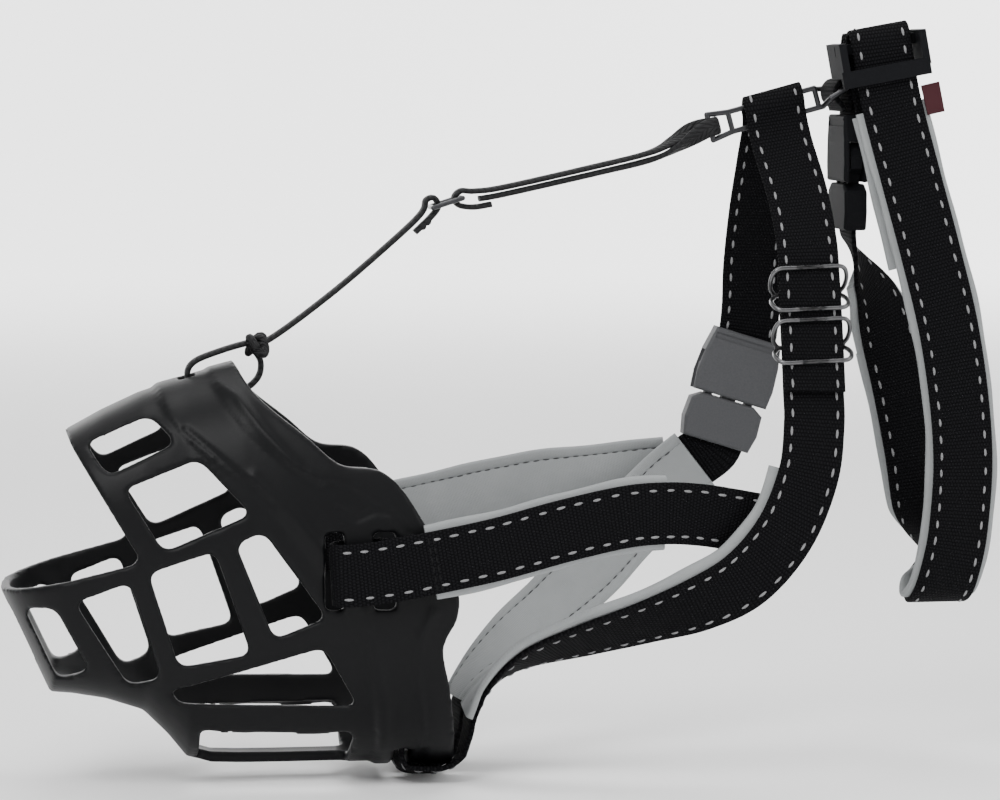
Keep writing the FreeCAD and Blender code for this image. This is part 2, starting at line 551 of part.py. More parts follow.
keep("collar_slider", make_collar_slider())
keep("collar_tag", block((191.0, -14.9, 150.6), (0.97, 0, 0.22), (-0.22, 0, 0.97), (6.0, 10.0, 1.0)))

# ---------------------------------------------------------------- files

os.makedirs("parts", exist_ok=True)
doc.recompute()
for obj in made:
    bad = [state for state in obj.State if state in ("Invalid", "Error")]
    if bad or obj.Shape.isNull() or not obj.Shape.isValid():
        raise SystemExit(f"{obj.Label} is not a valid shape")
    if len(obj.Shape.Solids) != 1:
        raise SystemExit(f"{obj.Label} has {len(obj.Shape.Solids)} solids")
    obj.Shape.exportStep(f"parts/{obj.Label}.step")
    print(obj.Label, round(obj.Shape.Volume), obj.Shape.BoundBox)
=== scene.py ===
# %% [markdown]
# # A basket muzzle with padded straps and a safety collar
# The frame holds the hard geometry. This script builds what is soft, woven, moulded or sewn on top of it:
# the rubber basket's rounded skin, the webbing with its weave and stitching, the padded linings and the cord.
# Lengths in the tables are millimetres; `MM` turns them into metres.

import math
import random

import bmesh
import bpy
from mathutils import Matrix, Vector


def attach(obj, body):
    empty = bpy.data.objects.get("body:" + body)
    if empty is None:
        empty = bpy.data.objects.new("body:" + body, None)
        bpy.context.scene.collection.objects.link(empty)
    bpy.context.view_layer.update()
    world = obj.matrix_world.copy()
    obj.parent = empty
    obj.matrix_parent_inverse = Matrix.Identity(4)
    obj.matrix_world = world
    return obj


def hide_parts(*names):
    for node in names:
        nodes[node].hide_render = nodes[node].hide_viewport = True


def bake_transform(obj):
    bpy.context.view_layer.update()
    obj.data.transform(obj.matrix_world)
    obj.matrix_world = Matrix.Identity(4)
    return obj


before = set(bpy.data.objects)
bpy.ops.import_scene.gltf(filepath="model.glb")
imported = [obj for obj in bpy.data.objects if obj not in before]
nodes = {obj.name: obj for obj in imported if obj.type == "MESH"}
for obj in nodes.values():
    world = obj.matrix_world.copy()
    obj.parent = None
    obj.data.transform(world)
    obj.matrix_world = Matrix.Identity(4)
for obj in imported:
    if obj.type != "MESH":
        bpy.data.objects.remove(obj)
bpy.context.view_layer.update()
MM = 0.001
random.seed(7)

# %% [markdown]
# ## Shader maths
# `Sock` wraps a node socket so that a pattern can be written as ordinary arithmetic.

# %% Socket arithmetic
class Sock:
    def __init__(self, tree, socket):
        self.tree = tree
        self.socket = socket

    def op(self, kind, *others):
        node = self.tree.nodes.new("ShaderNodeMath")
        node.operation = kind
        for slot, value in zip(node.inputs, (self, *others)):
            if isinstance(value, Sock):
                self.tree.links.new(value.socket, slot)
            else:
                slot.default_value = value
        return Sock(self.tree, node.outputs[0])

    def __add__(self, other):
        return self.op("ADD", other)

    def __sub__(self, other):
        return self.op("SUBTRACT", other)

    def __mul__(self, other):
        return self.op("MULTIPLY", other)

    def __truediv__(self, other):
        return self.op("DIVIDE", other)

    def __pow__(self, other):
        return self.op("POWER", other)


class Paint:
    """One material: a Principled shader and the patterns that drive it."""

    def __init__(self, name, colour, roughness, **fixed):
        self.material = bpy.data.materials.new(name)
        self.material.use_nodes = True
        self.tree = self.material.node_tree
        self.shader = self.tree.nodes["Principled BSDF"]
        self.shader.inputs["Base Color"].default_value = (*colour, 1)
        self.shader.inputs["Roughness"].default_value = roughness
        for key, value in fixed.items():
            self.shader.inputs[key.replace("_", " ")].default_value = value

    def node(self, kind, out=0, **values):
        """Any other node, with its inputs given by name, as a Sock on one output."""
        made = self.tree.nodes.new(kind)
        for key, value in values.items():
            if hasattr(made, key):
                setattr(made, key, value)
                continue
            slot = made.inputs[key.replace("_", " ")]
            if isinstance(value, Sock):
                self.tree.links.new(value.socket, slot)
            else:
                slot.default_value = value
        return Sock(self.tree, made.outputs[out])

    def uv(self):
        """Across and along the strap, in metres."""
        source = self.node("ShaderNodeUVMap", uv_map="strap")
        split = self.tree.nodes.new("ShaderNodeSeparateXYZ")
        self.tree.links.new(source.socket, split.inputs[0])
        return Sock(self.tree, split.outputs[0]), Sock(self.tree, split.outputs[1])

    def noise(self, scale, detail=3.0, rough=0.5, out=0):
        where = self.node("ShaderNodeTexCoord", out=3)
        return self.node(
            "ShaderNodeTexNoise", out=out, Vector=where, Scale=scale, Detail=detail, Roughness=rough
        )

    def bump(self, height, distance, strength=1.0):
        result = self.node("ShaderNodeBump", Height=height, Distance=distance, Strength=strength)
        self.tree.links.new(result.socket, self.shader.inputs["Normal"])

    def shade(self, amount, low, high, slot="Base Color"):
        """Drive the colour, or a plain slot, between two values."""
        if slot != "Base Color":
            ranged = self.node("ShaderNodeMapRange", Value=amount, To_Min=low, To_Max=high)
            self.tree.links.new(ranged.socket, self.shader.inputs[slot])
            return
        mixed = self.node("ShaderNodeMix", out=2, data_type="RGBA")
        mix = mixed.socket.node
        self.tree.links.new(amount.socket, mix.inputs[0])
        mix.inputs[6].default_value = (*low, 1)
        mix.inputs[7].default_value = (*high, 1)
        self.tree.links.new(mixed.socket, self.shader.inputs["Base Color"])


# %% [markdown]
# ## Materials
# The webbing is a plain weave: rows of small beads, each row shifted by half a bead.
# Its height drives the bump, and it also paints light into the colour: a painted highlight on the yarn tops
# and painted shade in the gaps.

# %% Fabrics
def weave(paint, across, along, shift=0.5):
    u, v = paint.uv()
    row = v / along
    parity = row.op("FLOOR").op("MODULO", 2.0) * shift
    a = (u / across + parity + 1000.0).op("FRACT") - 0.5
    b = row.op("FRACT") - 0.5
    bead = (a * a * -3.6 + 1.0) * (b * b * -3.8 + 1.0)
    return bead.op("MAXIMUM", 0.0) ** 0.6


webbing = Paint("webbing", (0.004, 0.004, 0.0045), 0.8, Specular_IOR_Level=0.05)
beads = weave(webbing, 0.00105, 0.00118)
fuzz = webbing.noise(900.0, 2.0)
# Painted light: the bead height lightens the yarn tops as a painted highlight and darkens the gaps as painted
# shade; the fuzz is random tone.
webbing.shade(beads * 0.8 + fuzz * 0.25, (0.0008, 0.0008, 0.001), (0.0065, 0.0065, 0.0075))
webbing.shade(beads, 0.95, 0.7, "Roughness")
webbing.bump(beads + fuzz * 0.15, 0.00042)

lining = Paint("lining", (0.23, 0.24, 0.242), 0.9, Specular_IOR_Level=0.15)
knit = weave(lining, 0.0006, 0.0005)
cloud = lining.noise(70.0, 4.0, 0.6)
# The knit height adds a small painted highlight on the loop tops; the cloud noise is the cloth's own uneven
# tone.
lining.shade(cloud * 0.75 + knit * 0.2, (0.2, 0.21, 0.212), (0.29, 0.3, 0.303))
lining.bump(knit * 0.35 + cloud * 2.2, 0.0003, 0.7)

braid = Paint("braid", (0.004, 0.004, 0.0045), 0.62, Specular_IOR_Level=0.22)
u, v = braid.uv()
slant = u.op("ABSOLUTE") * 1.3
plait = ((v + slant) / 0.0021).op("FRACT") - 0.5
strand = (u / 0.0015 + 100.0).op("FRACT") - 0.5
ropes = ((plait * plait * -3.7 + 1.0) * (strand * strand * -2.4 + 1.0)).op("MAXIMUM", 0.0) ** 0.6
# Painted light: the strand height lightens the rope tops as a painted highlight and darkens the grooves
# between them as painted shade.
braid.shade(ropes, (0.0012, 0.0012, 0.0014), (0.0095, 0.0095, 0.0105))
braid.bump(ropes, 0.0005)

thread = Paint("thread", (0.30, 0.30, 0.31), 0.55, Specular_IOR_Level=0.3)
twist = thread.noise(2600.0, 1.0)
thread.shade(twist, (0.11, 0.11, 0.114), (0.23, 0.23, 0.235))
thread.bump(twist, 0.00012)
dark_thread = Paint("dark_thread", (0.006, 0.006, 0.0065), 0.8, Specular_IOR_Level=0.1)
seam_thread = Paint("seam_thread", (0.03, 0.031, 0.033), 0.7)

# %% Rubber, plastic and wire
rubber = Paint("rubber", (0.004, 0.0042, 0.0048), 0.45, Specular_IOR_Level=0.13)
grain = rubber.noise(1500.0, 3.0, 0.6)
flow = rubber.noise(26.0, 4.0, 0.55)
rubber.shade(flow, 0.36, 0.52, "Roughness")
rubber.shade(flow * 0.7 + grain * 0.3, (0.0016, 0.0017, 0.0021), (0.0036, 0.0038, 0.0044))
rubber.bump(grain * 0.25 + flow * 0.9, 0.00022, 0.6)

plastic = Paint("plastic", (0.005, 0.005, 0.006), 0.62, Specular_IOR_Level=0.05)
stipple = plastic.noise(2200.0, 2.0)
plastic.shade(stipple, (0.004, 0.0042, 0.005), (0.0075, 0.0078, 0.009))
plastic.bump(stipple, 0.00008, 0.6)

wire = Paint("wire", (0.03, 0.03, 0.032), 0.3, Metallic=0.85, Coat_Weight=0.35, Coat_Roughness=0.2)
worn = wire.noise(420.0, 3.0)
wire.shade(worn, (0.01, 0.01, 0.011), (0.045, 0.045, 0.05))
grey_plastic = Paint("grey_plastic", (0.055, 0.056, 0.06), 0.55, Specular_IOR_Level=0.15)
pebble = grey_plastic.noise(1800.0, 2.0)
grey_plastic.shade(pebble, (0.05, 0.051, 0.054), (0.07, 0.071, 0.075))
grey_plastic.bump(pebble, 0.00006, 0.5)
polished = Paint("polished", (0.2, 0.2, 0.205), 0.28, Metallic=1.0)
rubbed = polished.noise(500.0, 2.0)
polished.shade(rubbed, (0.06, 0.06, 0.063), (0.17, 0.17, 0.173))
label = Paint("label", (0.035, 0.006, 0.009), 0.7, Specular_IOR_Level=0.2)
print("materials:", len(bpy.data.materials))

# %% [markdown]
# ## Strap routes
# Each station is the strap's middle and the direction across its width. The outer face lies on the side of
# travel x width.

# %% Routes
NECK = [
    (146.6, -39.6, 57, 1, 0, 0), (147.0, -34.0, 74, 1, 0, 0.03), (147.2, -27.7, 93, 1, 0, 0.06),
    (147.0, -23.6, 105, 1, 0, 0.1), (145.6, -15.6, 120, 0.98, 0, 0.18),
    (142.8, -6.4, 135, 0.97, 0, 0.25), (141.6, -2.8, 143.2, 0.965, 0, 0.261),
    (140.7, -3.0, 148.8, 0.965, 0, 0.261), (140.3, 0, 152.7, 0.965, 0, 0.261),
    (140.7, 3.0, 148.8, 0.965, 0, 0.261), (141.0, 2.8, 143.2, 0.965, 0, 0.261),
    (140.4, 8.0, 132, 0.97, 0, 0.22), (139.6, 16.6, 114, 0.99, 0, 0.1),
    (139.2, 23.6, 95, 0.99, 0, -0.06), (139.4, 26.8, 81, 0.98, 0, -0.2),
    (138.5, 27.2, 71.4, 0.954, 0, -0.3), (137.3, 27.2, 67.4, 0.954, 0, -0.3),
]
THROAT_NEAR = [
    (147.4, -23.7, 95, 1, 0, 0.06), (147.2, -30.4, 75, 1, 0, 0.03), (146.8, -36.2, 57.4, 1, 0, 0.0),
    (146.4, -39.6, 46, 0.99, 0, -0.08), (144.2, -41.4, 30, 0.95, 0, -0.3),
    (136.5, -42.8, 12, 0.82, 0, -0.57), (124.0, -43.0, -2.5, 0.68, 0.05, -0.73),
    (109.0, -41.0, -11, 0.5, 0.3, -0.8), (92.0, -35.5, -17.6, 0.35, 0.62, -0.7),
    (74.0, -28.0, -24.0, 0.3, 0.76, -0.56), (57.0, -20.0, -31.0, 0.22, 0.88, -0.36),
    (44.8, -14.8, -40.2, 0.1, 0.97, -0.12), (38.8, -13.4, -49, 0, 1, -0.05),
    (37.2, -13.2, -56, 0, 1, -0.16), (34.6, -13, -63.6, 0, 1, -0.22), (29.6, -13, -67.3, 0, 1, -0.22),
    (22.4, -13, -67.7, 0, 1, -0.22), (16.6, -13, -66.6, 0, 1, -0.24), (14.9, -13, -62, 0, 1, -0.25),
    (17.4, -13, -56.5, 0, 1, -0.33), (22.0, -13, -55.2, 0, 1, -0.34), (26.6, -13, -55.2, 0, 1, -0.34),
]
THROAT_FAR = [
    (26.6, 13, -55.2, 0, -1, -0.34), (22.0, 13, -55.2, 0, -1, -0.34), (17.4, 13, -56.5, 0, -1, -0.33),
    (14.9, 13, -62, 0, -1, -0.25), (16.6, 13, -66.6, 0, -1, -0.24), (22.4, 13, -67.7, 0, -1, -0.22),
    (29.6, 13, -67.3, 0, -1, -0.22), (34.6, 13, -63.6, 0, -1, -0.22), (37.2, 13.2, -56, 0, -1, -0.16),
    (38.8, 13.4, -49, 0.05, -1, -0.05), (45.2, 14.6, -40.4, 0.15, -0.98, -0.1),
    (57, 18.4, -30.6, 0.34, -0.88, -0.34), (71.5, 23, -20, 0.52, -0.66, -0.55),
    (86, 26, -6.4, 0.66, -0.34, -0.66), (99, 29.4, 7.6, 0.72, -0.1, -0.68),
    (111, 30.2, 20, 0.76, 0, -0.64), (119.8, 28.6, 27.6, 0.84, 0, -0.54),
    (126, 27.2, 32.6, 0.94, 0, -0.34), (128.4, 27.2, 38.8, 0.954, 0, -0.3),
]
CHEEK_NEAR = [
    (17.6, -46.7, 4.2, -0.1, 0, 1), (13.6, -46.8, 3.4, -0.1, 0, 1), (10.4, -46, 2.8, -0.1, 0, 1),
    (8, -43.2, 2.4, -0.1, 0, 1), (6.9, -40, 2.1, -0.08, 0, 1), (4.2, -37.6, 1.9, -0.08, 0, 1),
    (-0.6, -36.7, 1.6, -0.06, 0, 1), (-6.2, -37.3, 1.2, -0.06, 0, 1), (-9, -40.2, 1, -0.06, 0, 1),
    (-9.6, -44.4, 1, -0.06, 0, 1), (-7.6, -47.8, 1.1, -0.07, 0, 1), (-3, -48.9, 1.3, -0.08, 0, 1),
    (8, -49.2, 2.6, -0.1, 0, 1), (21, -49.2, 4.8, -0.16, 0, 1), (42, -48.6, 8.8, -0.2, 0, 1),
    (64, -47.2, 14.2, -0.2, 0, 1), (84, -44.8, 18, -0.12, 0, 1), (98, -41.8, 18.6, -0.02, 0, 1),
    (110, -37.8, 17.4, 0.06, 0, 1), (120, -35.8, 15.6, 0.1, 0, 1), (130, -35.2, 13.6, 0.14, 0, 1),
]
CHEEK_FAR = [
    (120, 35.4, 24.8, 0.05, 0, 1), (112, 36.0, 24.0, 0.03, 0, 1), (98, 37.8, 22.6, -0.03, 0, 1),
    (84, 40.4, 21, -0.08, 0, 1), (66, 44.0, 18.6, -0.14, 0, 1), (42, 48.2, 13.6, -0.2, 0, 1),
    (21, 49.2, 9, -0.2, 0, 1), (8, 49.2, 4.2, -0.14, 0, 1), (-3, 48.9, 1.7, -0.12, 0, 1),
    (-7.6, 47.8, 1.5, -0.11, 0, 1), (-9.6, 44.4, 1.4, -0.1, 0, 1), (-9, 40.2, 1.4, -0.1, 0, 1),
    (-6.2, 37.3, 1.6, -0.1, 0, 1), (-0.6, 36.7, 2, -0.1, 0, 1), (4.2, 37.6, 3.5, -0.12, 0, 1),
    (6.9, 40, 3.7, -0.12, 0, 1), (8, 43.2, 4, -0.14, 0, 1), (10.4, 46, 4.4, -0.14, 0, 1),
    (13.6, 46.8, 5, -0.14, 0, 1), (17.6, 46.7, 5.8, -0.14, 0, 1),
]
COLLAR = [
    (189.2, -10.0, 97, 0.98, 0, 0.2), (183.4, -8.6, 120, 0.97, 0, 0.24),
    (177.6, -5.2, 146, 0.97, 0, 0.22), (174.6, -4.4, 163, 0.98, 0, 0.18),
    (173.6, -6.0, 171.2, 0.98, 0, 0.18), (173.4, -9.6, 173.6, 0.98, 0, 0.18),
    (173.6, -13.0, 170.6, 0.98, 0, 0.18), (174.6, -14.2, 163, 0.98, 0, 0.18),
    (177.4, -14.8, 148, 0.97, 0, 0.22), (183.6, -16.6, 124, 0.96, 0, 0.26),
    (190.0, -17.9, 100, 0.97, 0, 0.24), (196.2, -17.4, 76, 0.98, 0, 0.18),
    (200.4, -16.2, 52, 0.99, 0, 0.1), (202.4, -14.6, 30, 1, 0, 0.02), (201.4, -13.2, 8, 1, 0, -0.06),
    (199.4, -11.4, -5, 1, 0, -0.1), (197.8, -7.2, -13.4, 1, 0, -0.06), (197.0, 0.6, -16.8, 1, 0.1, 0),
    (196.6, 7.2, -12.4, 0.9, 0.5, 0), (196.6, 10.2, -4, 0.4, 0.9, 0), (196.2, 11.4, 5, -0.4, 0.9, 0),
    (195.2, 12.4, 15, -0.95, 0.4, 0), (193.4, 13.4, 28, -1, 0, -0.1), (189.4, 14.4, 50, -1, 0, -0.16),
    (185.0, 14.6, 68, -0.98, -0.1, -0.2), (180.0, 13.0, 82, -0.85, -0.5, -0.15),
    (173.4, 10.2, 93, -0.5, -0.85, -0.1), (169.0, 8.3, 102, -0.1, -1, 0), (168.0, 8.0, 108, 0, -1, 0),
    (168.0, 8.0, 112, 0, -1, 0),
]
RING_POCKET = [
    (166.4, 8, 146.4, 0, -1, 0), (166.5, 8, 150, 0, -1, 0), (166.4, 8, 153.6, 0, -1, 0),
    (164.0, 8, 156.1, 0, -1, 0), (161.6, 8, 153.6, 0, -1, 0), (161.9, 8, 150.2, 0, -1, 0),
    (163.8, 8, 148.2, 0, -1, 0), (164.5, 8, 146.4, 0, -1, 0),
]
RING_STRAP = [
    (168.0, 8.0, 141.2, 0, -1, 0), (168.5, 8.0, 147.6, 0, -1, 0), (170.2, 7.6, 154.6, -0.3, -0.95, 0),
    (172.8, 4.6, 160, -0.8, -0.6, -0.1), (174.2, 2.5, 164.4, -0.97, -0.1, -0.18),
    (173.9, 2.5, 168.8, -0.98, 0, -0.18), (173.8, 0.1, 172.5, -0.98, 0, -0.18),
    (173.9, -2.2, 169.2, -0.98, 0, -0.18), (174.2, -2.1, 163.4, -0.98, 0, -0.18),
]
CORD_FRONT = [
    (-31.0, 0, 69.4), (-28.6, 0, 65.6), (-29.4, 0, 60.6), (-34.0, 0, 56.6), (-42.0, 0, 54.6),
    (-48.4, 0, 55.0), (-51.6, 0, 58.4), (-52.3, 0, 62.8), (-49.4, 0, 66.2), (-41.0, 0, 69.4),
    (-33.0, 0, 71.6), (-26.0, 0, 72.6), (-5.0, 0, 87.8), (16.0, 0, 105.6), (24.2, 0, 113.6),
    (25.6, 0, 117.6), (28.2, 0, 118.4), (29.6, 0, 115.6), (27.2, 0, 112.2), (22.0, 0, 107.2),
]
CORD_REAR = [
    (43.0, 0, 118.0, 0, 1, 0), (52.0, 0, 119.6, 0, 1, 0), (82.0, 0, 126.2, 0, 1, 0),
    (100.0, 0, 130.5, 0, 1, 0), (108.6, -0.6, 134.2, 0, 0.9, -0.4),
    (114.2, -1.6, 137.9, 0.15, 0.5, -0.85), (118.0, -2.1, 140.4, 0.26, 0, -0.965),
    (120.4, -1.9, 141.2, 0.26, 0, -0.965), (122.2, 0, 141.7, 0.26, 0, -0.965),
    (120.4, 1.9, 141.2, 0.26, 0, -0.965), (117.8, 2.2, 140.9, 0.26, 0, -0.965),
    (113.0, 1.4, 139.6, 0.15, -0.5, -0.85), (107.2, 0.6, 136.4, 0, -0.9, -0.4),
    (99.2, 0, 132.7, 0, -1, 0), (81.6, 0, 128.4, 0, -1, 0), (51.6, 0, 121.8, 0, -1, 0),
    (41.6, 0, 120.5, 0, -1, 0), (37.0, 0, 120.6, 0, -1, 0), (34.9, 0, 118.4, 0, -1, 0),
    (36.4, 0, 116.0, 0, -1, 0), (41.2, 0, 115.3, 0, -1, 0), (47.0, 0, 116.2, 0, -1, 0),
]

# %% [markdown]
# ## Sweeping a profile along a route
# `Route` smooths the stations, then sweeps any closed profile along them. The profile is given as
# (across, outwards) in millimetres. The `strap` UV map holds real distances, so the weave keeps its size.

# %% Route
class Route:
    def __init__(self, stations, step=1.2):
        self.rows = []
        count = len(stations)
        self.marks = []
        for i in range(count - 1):
            quad = [stations[max(0, min(count - 1, i + k))] for k in (-1, 0, 1, 2)]
            span = max(1, round((Vector(quad[2][:3]) - Vector(quad[1][:3])).length / step))
            self.marks.append(len(self.rows))
            for j in range(span + (i == count - 2)):
                t = j / span
                weights = (
                    -0.5 * t + t * t - 0.5 * t ** 3,
                    1 - 2.5 * t * t + 1.5 * t ** 3,
                    0.5 * t + 2 * t * t - 1.5 * t ** 3,
                    -0.5 * t * t + 0.5 * t ** 3,
                )
                mixed = [sum(w * q[k] for w, q in zip(weights, quad)) for k in range(6)]
                self.rows.append((Vector(mixed[:3]) * MM, Vector(mixed[3:]).normalized()))
        self.marks.append(len(self.rows) - 1)
        self.frames = []
        self.along = [0.0]
        for i, (point, across) in enumerate(self.rows):
            ahead = (self.rows[min(i + 1, len(self.rows) - 1)][0] - self.rows[max(i - 1, 0)][0]).normalized()
            out = ahead.cross(across).normalized()
            self.frames.append((point, out.cross(ahead).normalized(), out, ahead))
            if i:
                self.along.append(self.along[-1] + (point - self.rows[i - 1][0]).length)

    def at(self, distance):
        """The frame at a distance along the route, in metres."""
        distance = min(max(distance, 0.0), self.along[-1] - 1e-7)
        i = max(k for k in range(len(self.along)) if self.along[k] <= distance)
        i = min(i, len(self.along) - 2)
        t = (distance - self.along[i]) / max(self.along[i + 1] - self.along[i], 1e-9)
        a, b = self.frames[i], self.frames[i + 1]
        return tuple(p.lerp(q, t) for p, q in zip(a, b))

    def sweep(self, name, profile, paint, first=0, last=None, shift=0.0, ripple=0.0, seed=1, more=0):
        """A closed solid: the profile swept from one station to another, and a few rows further."""
        start = self.marks[first]
        stop = self.marks[-1 if last is None else last] + more
        bm = bmesh.new()
        uv = bm.loops.layers.uv.new("strap")
        phase = [seed * 1.7 + k for k in range(4)]
        rings = []
        for i in range(start, stop + 1):
            point, side, out, _ = self.frames[i]
            s = self.along[i]
            wave = math.sin(s * 95 + phase[0]) * 0.6 + math.sin(s * 230 + phase[1]) * 0.4
            lift = math.sin(s * 70 + phase[2]) * 0.5 + math.sin(s * 190 + phase[3]) * 0.5
            ring = []
            for across, height in profile:
                edge = abs(across) / 12.0
                x = across + ripple * wave * edge * edge * (1 if across > 0 else -1)
                z = height + shift + ripple * 0.5 * lift * edge * edge
                ring.append(bm.verts.new(point + side * (x * MM) + out * (z * MM)))
            rings.append(ring)
        count = len(profile)
        for r in range(len(rings) - 1):
            for k in range(count):
                n = (k + 1) % count
                face = bm.faces.new((rings[r][k], rings[r][n], rings[r + 1][n], rings[r + 1][k]))
                face.smooth = True
                corners = ((r, k), (r, n), (r + 1, n), (r + 1, k))
                for loop, (row, col) in zip(face.loops, corners):
                    loop[uv].uv = (profile[col][0] * MM, self.along[start + row])
        for ring in (rings[0], rings[-1]):
            face = bm.faces.new(ring)
            for loop, (across, height) in zip(face.loops, profile):
                loop[uv].uv = (across * MM, height * MM)
        bmesh.ops.recalc_face_normals(bm, faces=bm.faces[:])
        return finish_mesh(bm, name, paint)


def finish_mesh(bm, name, paint, sharp=50):
    mesh = bpy.data.meshes.new(name)
    bm.to_mesh(mesh)
    bm.free()
    mesh.set_sharp_from_angle(angle=math.radians(sharp))
    obj = bpy.data.objects.new(name, mesh)
    bpy.context.scene.collection.objects.link(obj)
    mesh.materials.append(paint.material)
    return obj


def band_profile(width, thick, edge, groove=0.0, groove_at=0.0):
    """A flat band with rounded edges. A groove is pressed into its inner face where a seam pulls it in."""
    half, t = width / 2, thick / 2
    flat = half - edge
    outer = [(-flat, t), (-half * 0.5, t * 1.04), (0, t * 1.06), (half * 0.5, t * 1.04), (flat, t)]
    right = [(flat + edge * math.sin(a), t * math.cos(a)) for a in (0.7, 1.25, math.pi - 1.25, math.pi - 0.7)]
    if groove:
        low = [(flat, 0), (groove_at + 0.7, 0), (groove_at, groove), (groove_at - 0.7, 0), (0, 0),
               (0.7 - groove_at, 0), (-groove_at, groove), (-0.7 - groove_at, 0), (-flat, 0)]
    else:
        low = [(flat, 0), (half * 0.5, 0), (0, 0), (-half * 0.5, 0), (-flat, 0)]
    left = [(-x, z) for x, z in reversed(right)]
    return outer + right + [(x, rise - t) for x, rise in low] + left


# %% [markdown]
# ## Stitching
# Every stitch is a small flattened bead of thread that dips into the cloth at both ends.

# %% Stitch rows
def add_stitch(bm, point, side, out, ahead, length, width, height, turn=0.0):
    """One stitch lying along `ahead`, turned in the strap's plane."""
    c, s = math.cos(turn), math.sin(turn)
    run = ahead * c + side * s
    cross = side * c - ahead * s
    rings = []
    steps = 6
    for i in range(steps + 1):
        t = i / steps
        swell = math.sin(math.pi * min(max(t, 0.04), 0.96)) ** 0.45
        centre = point + run * ((t - 0.5) * length) + out * (height * (swell - 0.75))
        ring = []
        for k in range(6):
            a = 2 * math.pi * k / 6
            wide = cross * (math.cos(a) * width / 2 * swell)
            tall = out * (math.sin(a) * height * 0.6 * swell)
            ring.append(bm.verts.new(centre + wide + tall))
        rings.append(ring)
    for a, b in zip(rings, rings[1:]):
        for k in range(6):
            face = bm.faces.new((a[k], a[(k + 1) % 6], b[(k + 1) % 6], b[k]))
            face.smooth = True
    bm.faces.new(rings[0])
    bm.faces.new(rings[-1])


def stitch_rows(
    route, name, paint, offsets, lift, face=1, pitch=5.9, length=2.9, width=0.85, first=0, last=None,
    margin=1.0, cross_seams=(), outline=(),
):
    """Rows of stitches along a strap, and seams across it, on one face. Distances are in millimetres."""
    start = route.along[route.marks[first]] + margin * MM
    stop = route.along[route.marks[-1 if last is None else last]] - margin * MM
    bm = bmesh.new()
    for offset in offsets:
        s = start + length * MM / 2
        while s < stop - length * MM / 2:
            point, side, out, ahead = route.at(s)
            wobble = random.uniform(-0.12, 0.12)
            where = point + side * ((offset + wobble) * MM) + out * (face * lift * MM)
            size = length * random.uniform(0.9, 1.06)
            turn = random.uniform(-0.06, 0.06)
            add_stitch(bm, where, side, out * face, ahead, size * MM, width * MM, 0.45 * MM, turn)
            s += pitch * MM * random.uniform(0.97, 1.03)
    for at, low, high in cross_seams:
        x = low
        while x < high:
            point, side, out, ahead = route.at(route.along[route.marks[first]] + at * MM)
            where = point + side * (x * MM) + out * (face * lift * MM)
            add_stitch(bm, where, side, out * face, ahead, 2.4 * MM, 0.7 * MM, 0.4 * MM, math.pi / 2)
            x += 3.0
    for s0, x0, s1, x1 in outline:
        run = math.hypot(s1 - s0, x1 - x0)
        turns = max(1, int(run / 3.0))
        for k in range(turns):
            t = (k + 0.5) / turns
            point, side, out, ahead = route.at(route.along[route.marks[first]] + (s0 + (s1 - s0) * t) * MM)
            where = point + side * ((x0 + (x1 - x0) * t) * MM) + out * (face * lift * MM)
            turn = math.atan2(x1 - x0, s1 - s0)
            add_stitch(bm, where, side, out * face, ahead, 2.3 * MM, 0.7 * MM, 0.4 * MM, turn)
    bmesh.ops.recalc_face_normals(bm, faces=bm.faces[:])
    return finish_mesh(bm, name, paint)


# %% [markdown]
# ## Dressing each strap
# Webbing 20 mm wide over a 24 mm padded lining. The linings show a pressed seam line on their inner face.

# %% Straps
WEB = band_profile(20.0, 1.6, 0.55)
PAD = band_profile(24.0, 2.4, 1.0, 0.45, 8.4)
PAD_ASIDE = [(x * 0.92 - 1.9, z) for x, z in PAD]
PAD_SHIFT = -(0.8 + 0.2 + 1.2)


def dress(obj, body, replaced=(), blend=None):
    if blend:
        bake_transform(obj)
    else:
        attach(obj, body)
    if replaced:
        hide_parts(*replaced)
    return obj


def padding(
    route, name, body, replaced, first, last, blend=None, seed=1, shape=PAD, seams=(-8.4, 8.4), more=0
):
    """A padded lining under a strap, with its two pressed seams."""
    obj = route.sweep(name, shape, lining, first, last, PAD_SHIFT, 0.35, seed, more)
    dress(obj, body, replaced, blend)
    seam = stitch_rows(route, name + "_seam", seam_thread, seams, -PAD_SHIFT + 1.2 - 0.45, -1, 3.3, 2.5, 0.5,
                       first, last, 2.0)
    dress(seam, body, (), blend)
    return obj


neck = Route(NECK)
throat_near = Route(THROAT_NEAR)
throat_far = Route(THROAT_FAR)
cheek_near = Route(CHEEK_NEAR)
cheek_far = Route(CHEEK_FAR)
collar = Route(COLLAR)
ring_strap = Route(RING_STRAP)
ring_pocket = Route(RING_POCKET, 0.8)

ROWS = (-7.4, 7.4)
TOP = 0.86
PULL = ("root", "main_plug", (0.099, 0.0284, 0.0076), (0.1225, 0.0278, 0.031))
COLLAR_PULL = ("collar", "collar_plug", (0.185, 0.0146, 0.068), (0.1682, 0.008, 0.1065))

dress(neck.sweep("neck_strap", WEB, webbing), "root", ("neck_webbing",))
for face, tag in ((1, "outer"), (-1, "inner")):
    dress(stitch_rows(neck, "neck_stitches_" + tag, thread, ROWS, TOP, face,
                      cross_seams=((2.5, -7, 7), (5.5, -7, 7)) if face > 0 else ()), "root")

dress(throat_near.sweep("throat_strap_near", WEB, webbing), "root", ("throat_webbing_near",))
dress(stitch_rows(throat_near, "throat_stitches_near", thread, ROWS, TOP, 1, first=2), "root")
padding(throat_near, "throat_pad_near", "root", ("throat_lining_near",), 4, 12, seed=2,
        shape=PAD_ASIDE, seams=(-9.6, 5.8))

